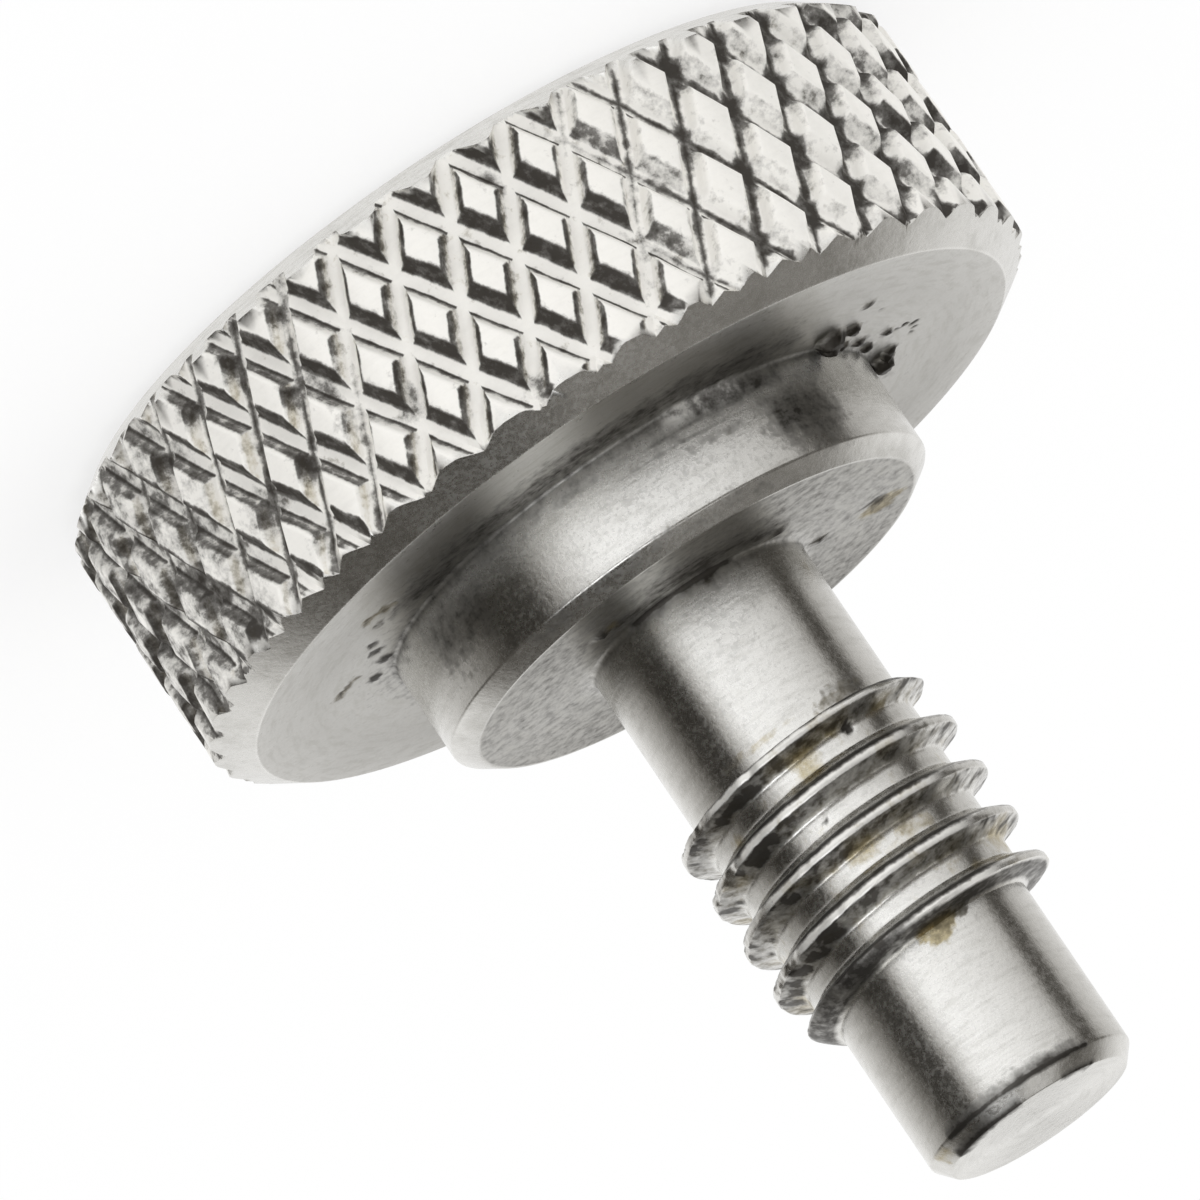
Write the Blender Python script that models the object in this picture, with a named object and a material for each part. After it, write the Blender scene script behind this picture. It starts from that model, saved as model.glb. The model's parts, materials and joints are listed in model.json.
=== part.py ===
"""Knurled tension screw, turned from one bar of steel.

The screw stands on the flat top of its head. Z runs along its axis from the head (z = 0) to the tip of
the dog point. The whole screw is one solid: a turned blank with a thread cut on it, and a knurling
surface that trims the rim of the head.
"""
import math

import bmesh
import bpy
from mathutils import Vector

MM = 0.001
FULL_TURN = 2.0 * math.pi

# Head
HEAD_DIAMETER = 12.2 * MM
HEAD_HEIGHT = 3.83 * MM
TOP_CHAMFER_WIDTH = 0.42 * MM
TOP_CHAMFER_HEIGHT = 0.35 * MM
UNDER_CHAMFER_WIDTH = 0.49 * MM
UNDER_CHAMFER_HEIGHT = 0.34 * MM

# Knurl: two families of helical grooves that cross and leave flat-topped diamonds
KNURL_DEPTH = 0.25 * MM
KNURL_GROOVES_RIGHT = 44
KNURL_GROOVES_LEFT = 39
KNURL_LEAN_RIGHT = math.radians(25.8)
KNURL_LEAN_LEFT = math.radians(33.4)
KNURL_START_RIGHT = 0.269
KNURL_START_LEFT = 0.791
KNURL_FLANK = 0.26

# Collar under the head
COLLAR_DIAMETER = 7.1 * MM
COLLAR_HEIGHT = 1.5 * MM
COLLAR_CHAMFER_WIDTH = 0.27 * MM
COLLAR_CHAMFER_HEIGHT = 0.19 * MM

# Plain shank
SHANK_DIAMETER = 3.13 * MM
SHANK_LENGTH = 2.15 * MM

# Thread, right hand
THREAD_DIAMETER = 3.84 * MM
THREAD_ROOT_DIAMETER = 3.16 * MM
THREAD_PITCH = 0.70 * MM
THREAD_LENGTH = 3.5 * MM
THREAD_CREST = 0.10 * MM
THREAD_START_TURN = 0.206
THREAD_FLANK_ANGLE = math.radians(30.0)
THREAD_LEAD_IN = 0.25 * MM
THREAD_RUN_OUT = 0.40 * MM

# Dog point
DOG_DIAMETER = 2.96 * MM
DOG_LENGTH = 2.2 * MM
DOG_CHAMFER_WIDTH = 0.18 * MM
DOG_CHAMFER_HEIGHT = 0.22 * MM

# How finely the round surfaces are divided, and the spare stock around the cuts
ROUND_STEPS = 64
RIM_STOCK = 0.20 * MM
END_STOCK = 0.30 * MM
PITCHES_BELOW_START = 2
MERGE_DISTANCE = 0.0001 * MM
SHARP_ANGLE = math.radians(25.0)

# Heights of the shoulders
UNDER_FACE_Z = HEAD_HEIGHT
COLLAR_FACE_Z = UNDER_FACE_Z + COLLAR_HEIGHT
THREAD_START_Z = COLLAR_FACE_Z + SHANK_LENGTH
THREAD_END_Z = THREAD_START_Z + THREAD_LENGTH
TIP_Z = THREAD_END_Z + DOG_LENGTH

STEEL_COLOR = (0.56, 0.55, 0.53, 1.0)
STEEL_ROUGHNESS = 0.32


def clear_scene():
    """Take out whatever the file opened with."""
    for item in list(bpy.data.objects):
        bpy.data.objects.remove(item, do_unlink=True)


def steel_material():
    """Plain bare steel."""
    material = bpy.data.materials.new("bare_steel")
    material.use_nodes = True
    shader = material.node_tree.nodes["Principled BSDF"]
    shader.inputs["Base Color"].default_value = STEEL_COLOR
    shader.inputs["Metallic"].default_value = 1.0
    shader.inputs["Roughness"].default_value = STEEL_ROUGHNESS
    return material


def add_object(name, bm):
    """Link the finished bmesh to the scene as an object."""
    mesh = bpy.data.meshes.new(name)
    bm.to_mesh(mesh)
    bm.free()
    item = bpy.data.objects.new(name, mesh)
    bpy.context.scene.collection.objects.link(item)
    return item


def spin_outline(bm, outline):
    """Turn an outline of (radius, height) points about the Z axis, as a lathe does."""
    start = [bm.verts.new((radius, 0.0, height)) for radius, height in outline]
    edges = [bm.edges.new(pair) for pair in zip(start, start[1:])]
    bmesh.ops.spin(
        bm,
        geom=start + edges,
        cent=(0.0, 0.0, 0.0),
        axis=(0.0, 0.0, 1.0),
        angle=FULL_TURN,
        steps=ROUND_STEPS,
        use_duplicate=False,
    )


def close_ends(bm):
    """Fill each open round end with one flat face and face everything outward."""
    bmesh.ops.remove_doubles(bm, verts=bm.verts, dist=MERGE_DISTANCE)
    open_edges = [edge for edge in bm.edges if edge.is_boundary]
    bmesh.ops.holes_fill(bm, edges=open_edges, sides=0)
    bmesh.ops.recalc_face_normals(bm, faces=bm.faces)


def chamfer_reach(width, height, extra):
    """Height of a chamfer that runs on outward past its edge by an extra width."""
    return height * (width + extra) / width


def head_and_shank_outline():
    """Head with spare stock on its rim, collar and plain shank."""
    rim = HEAD_DIAMETER / 2.0
    stock = rim + RIM_STOCK
    top_reach = chamfer_reach(TOP_CHAMFER_WIDTH, TOP_CHAMFER_HEIGHT, RIM_STOCK)
    under_reach = chamfer_reach(UNDER_CHAMFER_WIDTH, UNDER_CHAMFER_HEIGHT, RIM_STOCK)
    collar = COLLAR_DIAMETER / 2.0
    shank = SHANK_DIAMETER / 2.0
    return [
        (rim - TOP_CHAMFER_WIDTH, 0.0),
        (stock, top_reach),
        (stock, UNDER_FACE_Z - under_reach),
        (rim - UNDER_CHAMFER_WIDTH, UNDER_FACE_Z),
        (collar, UNDER_FACE_Z),
        (collar, COLLAR_FACE_Z - COLLAR_CHAMFER_HEIGHT),
        (collar - COLLAR_CHAMFER_WIDTH, COLLAR_FACE_Z),
        (shank, COLLAR_FACE_Z),
        (shank, THREAD_START_Z),
    ]


def dog_outline():
    """Dog point, from the end of the thread to the flat tip."""
    dog = DOG_DIAMETER / 2.0
    return [
        (dog, THREAD_END_Z),
        (dog, TIP_Z - DOG_CHAMFER_HEIGHT),
        (dog - DOG_CHAMFER_WIDTH, TIP_Z),
    ]


def thread_profile():
    """Corners of one pitch of the thread, as (height within the pitch, radius)."""
    root = THREAD_ROOT_DIAMETER / 2.0
    crest = THREAD_DIAMETER / 2.0
    flank = (crest - root) * math.tan(THREAD_FLANK_ANGLE)
    rise = (THREAD_PITCH - THREAD_CREST) / 2.0 - flank
    return [
        (0.0, root),
        (rise, root),
        (rise + flank, crest),
        (rise + flank + THREAD_CREST, crest),
        (rise + 2.0 * flank + THREAD_CREST, root),
    ]


def thread_limit(z):
    """Largest radius at a height: the lead-in beside the shank and the run-out to the dog point."""
    crest = THREAD_DIAMETER / 2.0
    shank = SHANK_DIAMETER / 2.0
    dog = DOG_DIAMETER / 2.0
    lead_in = shank + (crest - shank) * (z - THREAD_START_Z) / THREAD_LEAD_IN
    run_out = dog + (crest - dog) * (THREAD_END_Z - z) / THREAD_RUN_OUT
    return min(crest, lead_in, run_out)


def add_thread(bm):
    """Cut the thread: rows of points climb the screw along the helix, held between two level rings."""
    profile = thread_profile()
    rows_per_pitch = len(profile)
    turns = math.ceil(THREAD_LENGTH / THREAD_PITCH) + PITCHES_BELOW_START
    points = {}

    def corner(step, row):
        """Point of one row at one step around; a full turn joins a row to the row one pitch up."""
        if step == ROUND_STEPS:
            step = 0
            row += rows_per_pitch
        pitch_index, place = divmod(row, rows_per_pitch)
        rise, radius = profile[place]
        climb = THREAD_PITCH * (step / ROUND_STEPS + THREAD_START_TURN)
        z = THREAD_START_Z + (pitch_index - PITCHES_BELOW_START) * THREAD_PITCH + rise + climb
        key = (step, row)
        if z <= THREAD_START_Z:
            key = (step, "start")
            z = THREAD_START_Z
            radius = SHANK_DIAMETER / 2.0
        elif z >= THREAD_END_Z:
            key = (step, "end")
            z = THREAD_END_Z
            radius = DOG_DIAMETER / 2.0
        if key not in points:
            radius = min(radius, thread_limit(z))
            angle = FULL_TURN * step / ROUND_STEPS
            points[key] = bm.verts.new((radius * math.cos(angle), radius * math.sin(angle), z))
        return points[key]

    for step in range(ROUND_STEPS):
        for row in range(turns * rows_per_pitch):
            corners = [
                corner(step, row),
                corner(step + 1, row),
                corner(step + 1, row + 1),
                corner(step, row + 1),
            ]
            unique = list(dict.fromkeys(corners))
            if len(unique) > 2:
                bm.faces.new(unique)


def make_screw_blank():
    """The screw as it comes off the lathe, threaded but not yet knurled."""
    bm = bmesh.new()
    spin_outline(bm, head_and_shank_outline())
    spin_outline(bm, dog_outline())
    add_thread(bm)
    close_ends(bm)
    return add_object("tension_screw", bm)


class Knurl:
    """The crossing grooves as a lattice: column and row numbers give an angle and a height."""

    def __init__(self):
        rim = HEAD_DIAMETER / 2.0
        self.right_rate = KNURL_GROOVES_RIGHT * math.tan(KNURL_LEAN_RIGHT) / rim
        self.left_rate = KNURL_GROOVES_LEFT * math.tan(KNURL_LEAN_LEFT) / rim
        self.mix = KNURL_GROOVES_RIGHT * self.left_rate + KNURL_GROOVES_LEFT * self.right_rate

    def place(self, column, row, radius):
        """Point where the given fractional column and row of grooves cross."""
        right = FULL_TURN * (column + KNURL_START_RIGHT)
        left = FULL_TURN * (row + KNURL_START_LEFT)
        angle = (self.left_rate * right + self.right_rate * left) / self.mix
        height = (KNURL_GROOVES_RIGHT * left - KNURL_GROOVES_LEFT * right) / self.mix
        return Vector((radius * math.cos(angle), radius * math.sin(angle), height))

    def key(self, column, row):
        """The same crossing has one key, however often the count has gone around."""
        turns = math.floor((column + row) / (KNURL_GROOVES_RIGHT + KNURL_GROOVES_LEFT))
        return column - turns * KNURL_GROOVES_RIGHT, row - turns * KNURL_GROOVES_LEFT


def make_knurl_surface():
    """Closed sleeve with the diamonds on it over the head's rim, plain above, wide open to the stem."""
    knurl = Knurl()
    floor = HEAD_DIAMETER / 2.0 - KNURL_DEPTH
    crown = HEAD_DIAMETER / 2.0
    low = -END_STOCK
    high = HEAD_HEIGHT + END_STOCK
    bm = bmesh.new()
    nodes = {}

    def node(column, row):
        key = knurl.key(column, row)
        if key not in nodes:
            nodes[key] = bm.verts.new(knurl.place(key[0], key[1], floor))
        return nodes[key]

    around = KNURL_GROOVES_RIGHT + KNURL_GROOVES_LEFT
    near, far = KNURL_FLANK, 1.0 - KNURL_FLANK
    margin = 2.0 * FULL_TURN * HEAD_DIAMETER / around
    for total in range(around):
        for column in range(-around, around):
            row = total - column
            middle = knurl.place(column + 0.5, row + 0.5, crown)
            if not low - margin < middle.z < high + margin:
                continue
            base = [node(column, row), node(column + 1, row)]
            base += [node(column + 1, row + 1), node(column, row + 1)]
            inset = [(near, near), (far, near), (far, far), (near, far)]
            top = [bm.verts.new(knurl.place(column + a, row + b, crown)) for a, b in inset]
            bm.faces.new(top)
            for first in range(4):
                second = (first + 1) % 4
                bm.faces.new((base[first], base[second], top[second], top[first]))

    for height, direction in ((low, -1.0), (high, 1.0)):
        everything = bm.verts[:] + bm.edges[:] + bm.faces[:]
        bmesh.ops.bisect_plane(
            bm,
            geom=everything,
            dist=MERGE_DISTANCE,
            plane_co=(0.0, 0.0, height),
            plane_no=(0.0, 0.0, direction),
            clear_outer=True,
        )
    upper = [
        edge
        for edge in bm.edges
        if edge.is_boundary and all(vert.co.z > HEAD_HEIGHT for vert in edge.verts)
    ]
    raised = bmesh.ops.extrude_edge_only(bm, edges=upper)["geom"]
    for item in raised:
        if isinstance(item, bmesh.types.BMVert):
            item.co.z = TIP_Z + END_STOCK
    close_ends(bm)
    return add_object("knurl_surface", bm)


def trim_with(blank, surface):
    """Keep only what lies inside the knurling surface."""
    surface.hide_render = True
    surface.display_type = "WIRE"
    cut = blank.modifiers.new("knurl", "BOOLEAN")
    cut.operation = "INTERSECT"
    cut.solver = "EXACT"
    cut.object = surface


def main():
    clear_scene()
    screw = make_screw_blank()
    screw.data.materials.append(steel_material())
    knurl = make_knurl_surface()
    trim_with(screw, knurl)
    screw.data.shade_smooth()
    screw.data.set_sharp_from_angle(angle=SHARP_ANGLE)


main()
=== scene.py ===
"""Knurled tension screw in bare turned steel, on a plain pale floor.

The script is laid out as an add-on. One operator builds the screw with its finish, another the stage
around it. The screw stands on the flat top of its head, and +Z runs along its axis to the dog point.
Angles round it start at +X. The camera stands at -Y and shows the dog point down, with -X on the right.
"""
import json
import math

import bmesh
import bpy
import numpy as np
from mathutils import Matrix, Vector


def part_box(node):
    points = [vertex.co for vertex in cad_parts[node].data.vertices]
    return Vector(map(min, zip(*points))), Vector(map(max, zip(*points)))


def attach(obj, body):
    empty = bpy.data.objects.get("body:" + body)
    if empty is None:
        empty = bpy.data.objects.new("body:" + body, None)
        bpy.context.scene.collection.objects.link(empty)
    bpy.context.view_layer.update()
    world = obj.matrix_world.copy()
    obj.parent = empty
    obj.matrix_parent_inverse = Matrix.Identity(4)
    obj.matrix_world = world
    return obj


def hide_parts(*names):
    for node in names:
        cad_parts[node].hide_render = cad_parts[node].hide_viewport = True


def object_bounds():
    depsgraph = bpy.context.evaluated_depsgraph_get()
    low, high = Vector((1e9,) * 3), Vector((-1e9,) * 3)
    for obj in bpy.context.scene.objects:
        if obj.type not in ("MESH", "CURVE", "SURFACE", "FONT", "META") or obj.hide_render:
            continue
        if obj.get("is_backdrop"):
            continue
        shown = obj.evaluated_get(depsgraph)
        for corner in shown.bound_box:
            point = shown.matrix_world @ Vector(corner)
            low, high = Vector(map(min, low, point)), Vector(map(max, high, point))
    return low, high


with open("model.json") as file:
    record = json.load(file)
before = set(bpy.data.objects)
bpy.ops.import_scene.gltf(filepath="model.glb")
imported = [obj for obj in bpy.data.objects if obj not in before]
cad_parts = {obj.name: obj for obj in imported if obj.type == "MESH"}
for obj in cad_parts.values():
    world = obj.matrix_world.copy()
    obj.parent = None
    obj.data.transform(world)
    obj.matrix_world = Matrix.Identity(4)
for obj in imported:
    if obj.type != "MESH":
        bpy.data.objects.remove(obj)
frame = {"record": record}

bl_info = {
    "name": "Knurled Tension Screw",
    "version": (1, 0, 0),
    "blender": (4, 5, 0),
    "location": "3D View > Sidebar > Tension Screw",
    "description": "Builds a knurled tension screw in bare steel, and a plain stage for it",
    "category": "Add Mesh",
}

MM = 0.001
FULL_TURN = 2.0 * math.pi
NODE = "tension_screw"
PIECE = "turned_steel_screw"

FRAME_LOW, FRAME_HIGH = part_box(NODE)
MOUNTS = {mount["name"]: mount for mount in frame["record"]["mounts"]}
HEAD_DIAMETER = FRAME_HIGH.x - FRAME_LOW.x
HEAD_HEIGHT = 3.83 * MM
COLLAR_FACE_Z = MOUNTS["collar_face"]["pos_m"][2]
TIP_Z = MOUNTS["dog_end"]["pos_m"][2]


# ---------------- settings


def maker(kind, **fixed):
    """A function that makes settings of one kind from a name, a description and a default."""

    def make(name, description, default):
        return kind(name=name, description=description, default=default, **fixed)

    return make


# Sizes in metres, pairs of them, whole numbers, angles, shares between none and all, and colours
length = maker(bpy.props.FloatProperty, min=0.0, precision=6, unit="LENGTH")
two_lengths = maker(bpy.props.FloatVectorProperty, size=2, min=0.0, precision=6, unit="LENGTH")
count = maker(bpy.props.IntProperty, min=3)
slope = maker(bpy.props.FloatProperty, subtype="ANGLE")
share = maker(bpy.props.FloatProperty, min=0.0, max=1.0, subtype="FACTOR")
tint = maker(bpy.props.FloatVectorProperty, min=0.0, max=1.0, subtype="COLOR")


def lean(name, description, degrees):
    """An angle, given in degrees."""
    return slope(name, description, math.radians(degrees))


def chamfer(name, across, along):
    """A chamfer, given in millimetres."""
    return two_lengths(name, "Width across, and height along the axis", (across * MM, along * MM))


class ScrewSizes(bpy.types.PropertyGroup):
    """Sizes of the screw. The ones that the fixed frame gives come from it."""

    head_diameter: length("Head Diameter", "Across the tops of the knurl", HEAD_DIAMETER)
    head_height: length("Head Height", "From the outer face to the under-face", HEAD_HEIGHT)
    top_chamfer: chamfer("Top Chamfer", 0.42, 0.35)
    under_chamfer: chamfer("Under Chamfer", 0.49, 0.34)
    knurl_depth: length("Knurl Depth", "From the tops to the groove floors", 0.20 * MM)
    knurl_right: count("Right-Hand Grooves", "Grooves of the steeper family", 44)
    knurl_left: count("Left-Hand Grooves", "Grooves of the flatter family", 39)
    knurl_lean_right: lean("Right-Hand Lean", "Lean of the steeper grooves from the axis", 25.8)
    knurl_lean_left: lean("Left-Hand Lean", "Lean of the flatter grooves from the axis", 33.4)
    collar_diameter: length("Collar Diameter", "Plain collar under the head", 7.1 * MM)
    collar_face: length("Collar Face Height", "Seat of the collar above the outer face", COLLAR_FACE_Z)
    collar_chamfer: chamfer("Collar Chamfer", 0.27, 0.19)
    shank_diameter: length("Shank Diameter", "Plain shank before the thread", 3.13 * MM)
    shank_length: length("Shank Length", "From the collar face to the thread", 2.15 * MM)
    thread_diameter: length("Thread Diameter", "Across the crests", 3.84 * MM)
    thread_root: length("Thread Root Diameter", "Across the roots", 3.16 * MM)
    thread_pitch: length("Thread Pitch", "Climb of one turn", 0.70 * MM)
    thread_length: length("Thread Length", "From the shank to the dog point", 3.5 * MM)
    thread_crest: length("Crest Width", "Width of the blunt crest", 0.11 * MM)
    thread_start: share("Thread Start", "Turn at which the thread starts", 0.206)
    dog_diameter: length("Dog Point Diameter", "Plain point beyond the thread", 2.96 * MM)
    tip: length("Tip Height", "End of the dog point above the outer face", TIP_Z)
    dog_chamfer: chamfer("Dog Chamfer", 0.18, 0.22)


class ScrewFinish(bpy.types.PropertyGroup):
    """Colours and wear of the steel."""

    steel: tint("Steel", "Bright turned steel", (0.865, 0.855, 0.825))
    worn: tint("Worn Steel", "Duller faces of the steel", (0.50, 0.49, 0.465))
    # The frosted colour also paints a highlight along the thread's crests on the camera's side
    frosted: tint("Frosted Steel", "Pale skin that rolling left on the knurl", (0.985, 0.966, 0.918))
    dust: tint("Dust", "Fine dark specks on the steel", (0.34, 0.33, 0.29))
    # The darkest colour, used both for oil and soot and for the painted shade in the knurl, the thread and
    # the corners
    grime: tint("Grime", "Dark oil and dirt in the knurl and the thread", (0.026, 0.020, 0.014))
    rust: tint("Old Oil", "Brown and yellow stains", (0.42, 0.34, 0.16))
    roughness: share("Roughness", "How dull the bright steel is", 0.24)


class StudioSettings(bpy.types.PropertyGroup):
    """Camera and light."""

    elevation: lean("Camera Elevation", "Height of the camera above the horizon", 14.47)
    roll: lean("Camera Roll", "Clockwise turn of the camera about its line of sight", 145.92)
    distance: length("Camera Distance", "From the lens to the middle of the under-face", 251.6 * MM)
    lens: bpy.props.FloatProperty(
        name="Lens", description="Focal length in millimetres", default=600.0, min=1.0
    )
    floor: tint("Floor", "Plain white floor", (1.0, 1.0, 1.0))
    shadow: share("Shadow", "How much of the screw's shadow the floor keeps", 0.3)


# ---------------- shaping tools

# Whole numbers that scatter the cells of the noise, and the largest value that comes out
CELL_MIX = np.array([374761393, 668265263, 2147483647])
SEED_MIX = 1274126177
LAST_MIX = 1103515245
LARGEST = 0xFFFFFF
# Layers of a grain: (strength, how much finer, step of the seed)
GRAIN_LAYERS = ((1.0, 1.0, 0), (0.5, 2.1, 11), (0.25, 4.3, 23))
# What each point carries for the finish, from 0 to 1: darkening (oil and soot, and painted shade in recesses
# and on flanks), dullness, brown stain, pale frosted skin (also a painted highlight on the thread's crests)
MARKS = ("grime", "dull", "stain", "frost")
# Steps of a fillet's arc, the turn that is too slight for one, and the most of a side that one takes
FILLET_STEPS = 4
STRAIGHT = math.radians(89.0)
LONGEST_REACH = 0.48


def smooth(values, low, high):
    """Rises from 0 at low to 1 at high with soft ends."""
    part = np.clip((values - low) / (high - low), 0.0, 1.0)
    return part * part * (3.0 - 2.0 * part)


def band(values, rise, fall):
    """1 between a soft rise and a soft fall, each (from, to), and 0 outside them."""
    return smooth(values, *rise) * (1.0 - smooth(values, *fall))


def facing(angle, side):
    """Rises from 0 to 1 towards a side: (its middle in degrees, the cosines of its soft edge)."""
    middle, low, high = side
    return smooth(np.cos(angle - math.radians(middle)), low, high)


def halves(*diameters):
    """The radii of these diameters."""
    return [diameter / 2.0 for diameter in diameters]


def polar(radius, angle, z):
    """Points at these radii, angles and heights."""
    return np.stack(np.broadcast_arrays(radius * np.cos(angle), radius * np.sin(angle), z), axis=-1)


def lattice_noise(places, size, seed):
    """Smooth noise from -1 to 1 that varies over the given size, the same on each run."""
    grid = places / size
    base = np.floor(grid).astype(np.int64)
    part = grid - base
    part = part * part * (3.0 - 2.0 * part)
    total = np.zeros(len(grid))
    for corner in range(8):
        bits = np.array([corner & 1, corner >> 1 & 1, corner >> 2 & 1])
        mixed = (base + bits) @ CELL_MIX + seed * SEED_MIX
        mixed = (mixed ^ (mixed >> 13)) * LAST_MIX
        mixed = (mixed ^ (mixed >> 16)) & LARGEST
        total += np.prod(np.where(bits, part, 1.0 - part), axis=1) * mixed / LARGEST
    return 2.0 * total - 1.0


def grain(places, size, seed):
    """Noise of three sizes, the coarsest strongest and its size in millimetres."""
    flat = places.reshape(-1, 3)
    layers = [
        strength * lattice_noise(flat, size * MM / finer, seed + step)
        for strength, finer, step in GRAIN_LAYERS
    ]
    return (sum(layers) / sum(layer[0] for layer in GRAIN_LAYERS)).reshape(places.shape[:-1])


def ripples(places, *layers):
    """Unevenness in metres from layers of grain: (height and size in millimetres, seed)."""
    return sum(height * MM * grain(places, size, seed) for height, size, seed in layers)


class Skin:
    """Points and triangles of the screw as they are made."""

    def __init__(self):
        self.points = []
        self.marks = []
        self.triangles = []
        self.count = 0

    def add(self, places, marks=None):
        """Add points, and give back their numbers."""
        numbers = np.arange(self.count, self.count + len(places))
        self.points.append(places)
        self.marks.append(np.zeros((len(places), len(MARKS))) if marks is None else marks)
        self.count += len(places)
        return numbers

    def face(self, *corners):
        """Add triangles whose corners have these numbers."""
        self.triangles.append(np.stack(corners, axis=1))

    def strip(self, lower, upper):
        """Join two rings with the same number of points."""
        upper_next = np.roll(upper, -1)
        self.face(lower, np.roll(lower, -1), upper_next)
        self.face(lower, upper_next, upper)

    def zip_rings(self, first, first_angles, second, second_angles):
        """Join two rings whose points don't match, going round both at once."""
        first, second = first[np.argsort(first_angles)], second[np.argsort(second_angles)]
        order = np.argsort(np.concatenate([np.sort(first_angles), np.sort(second_angles)]), kind="stable")
        on_first = order < len(first)
        old_first = first[np.cumsum(on_first) - on_first - 1]
        old_second = second[np.cumsum(~on_first) - ~on_first - 1]
        self.face(old_first, np.concatenate([first, second])[order], old_second)

    def build(self, name, finish_off):
        """Make the mesh, with the marks as attributes."""
        points, marks = finish_off(np.concatenate(self.points), np.concatenate(self.marks))
        mesh = bpy.data.meshes.new(name)
        mesh.from_pydata(points.tolist(), [], np.concatenate(self.triangles).tolist())
        for key, values in zip(MARKS, marks.T):
            attribute = mesh.attributes.new(key, "FLOAT", "POINT")
            attribute.data.foreach_set("value", values.astype(np.float32))
        return mesh


def split_along(points, triangles, level, snap):
    """Cut the triangles that cross level 0, so that an edge runs along it."""
    level = np.where(np.abs(level) < snap, 0.0, level)
    ends = np.stack([triangles, np.roll(triangles, -1, axis=1)], axis=2)
    crossing = level[ends[..., 0]] * level[ends[..., 1]] < 0.0
    pairs = np.sort(ends[crossing], axis=1)
    pairs, place = np.unique(pairs, axis=0, return_inverse=True)
    first, second = pairs.T
    along = level[first] / (level[first] - level[second])
    made = points[first] + along[:, None] * (points[second] - points[first])
    cuts = np.full(triangles.shape, -1)
    cuts[crossing] = len(points) + place.reshape(-1)
    number = crossing.sum(axis=1)
    result = [triangles[number == 0]]
    for turn in range(3):
        corners = np.roll(triangles, -turn, axis=1)
        cut = np.roll(cuts, -turn, axis=1)
        one = (number == 1) & (cut[:, 0] >= 0)
        a, b, c = corners[one].T
        m = cut[one, 0]
        result += [np.stack(three, axis=1) for three in ((a, m, c), (m, b, c))]
        two = (number == 2) & (cut[:, 2] < 0)
        a, b, c = corners[two].T
        m, n = cut[two, :2].T
        result += [np.stack(three, axis=1) for three in ((m, b, n), (a, m, n), (a, n, c))]
    return np.concatenate([points, made]), np.concatenate(result)


def keep_used(points, triangles):
    """Drop the points that no triangle uses."""
    used, triangles = np.unique(triangles, return_inverse=True)
    return points[used], triangles.reshape(-1, 3)


def rounded_outline(corners):
    """Outline through (radius, height, fillet, dullness, darkening, frost) corners, each fillet an arc.

    The last values of a corner may be left out, and are then 0.
    """
    corners = [(*corner, *(6 - len(corner)) * (0.0,)) for corner in corners]
    places = [np.array(corner[:2]) for corner in corners]
    outline = [corners[0][:2] + corners[0][3:]]
    for index in range(1, len(corners) - 1):
        here = places[index]
        fillet, *marks = corners[index][2:]
        back, ahead = places[index - 1] - here, places[index + 1] - here
        back_length, ahead_length = np.linalg.norm(back), np.linalg.norm(ahead)
        back, ahead = back / back_length, ahead / ahead_length
        half = math.acos(np.clip(back @ ahead, -1.0, 1.0)) / 2.0
        if fillet <= 0.0 or half > STRAIGHT:
            outline.append((*here, *marks))
            continue
        reach = min(fillet / math.tan(half), LONGEST_REACH * min(back_length, ahead_length))
        middle = (back + ahead) / np.linalg.norm(back + ahead)
        radius = reach * math.tan(half)
        centre = here + middle * radius / math.sin(half)
        start = here + back * reach - centre
        end = here + ahead * reach - centre
        sweep = math.acos(np.clip(start @ end / radius**2, -1.0, 1.0))
        for step in range(FILLET_STEPS + 1):
            part = step / FILLET_STEPS
            mix_start = math.sin((1.0 - part) * sweep) / math.sin(sweep)
            mix_end = math.sin(part * sweep) / math.sin(sweep)
            outline.append((*(centre + start * mix_start + end * mix_end), *marks))
    outline.append(corners[-1][:2] + corners[-1][3:])
    return outline


def divide(outline, longest):
    """Add points so that no step of the outline is longer than this."""
    divided = [outline[0]]
    for start, end in zip(outline, outline[1:]):
        span = math.hypot(end[0] - start[0], end[1] - start[1])
        steps = max(1, math.ceil(span / longest))
        for step in range(1, steps + 1):
            part = step / steps
            divided.append(tuple(low + (high - low) * part for low, high in zip(start, end)))
    return divided


# ---------------- the head's knurled rim

# Where the first groove of each kind stands, in shares of their pitch
KNURL_START_RIGHT = 0.269
KNURL_START_LEFT = 0.791
LAND_MIDDLE = 0.5
# Across one groove and the land beside it, in shares of the pitch: (place, height, darkening). The darkening
# is mostly painted shade on the flanks, black on the flatter grooves' long flank. The steeper grooves are
# alike on both sides, the flatter ones have a longer flank on the outer-face side.
STEEP_FLANK = (
    (0.08, 0.02, 0),
    (0.11, 0.1, 0.28),
    (0.15, 0.4, 0.5),
    (0.19, 0.74, 0.9),
    (0.225, 0.94, 0.9),
    (0.265, 0.99, 0.1),
)
STEEP_GROOVE = (
    (0.0, 0.0, 0.0),
    *STEEP_FLANK,
    (LAND_MIDDLE, 1.0, 0.0),
    *[(1.0 - place, height, dirt_and_shade) for place, height, dirt_and_shade in reversed(STEEP_FLANK)],
)
FLAT_GROOVE = (
    (0, 0, 0),
    (0.075, 0.01, 0.2),
    (0.105, 0.07, 1),
    (0.14, 0.3, 0.6),
    (0.185, 0.72, 0.1),
    (0.225, 0.93, 0),
    (0.28, 0.99, 0),
    (0.6, 1, 0),
    (0.65, 0.98, 0.35),
    (0.695, 0.9, 1),
    (0.76, 0.6, 1),
    (0.83, 0.2, 1),
    (0.87, 0.05, 0.8),
    (0.915, 0.01, 0.05),
)
# Lines of the flatter groove: one on its short flank, and the first one of its long flank
SHORT_FLANK = 4
LONG_FLANK = 8
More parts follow.
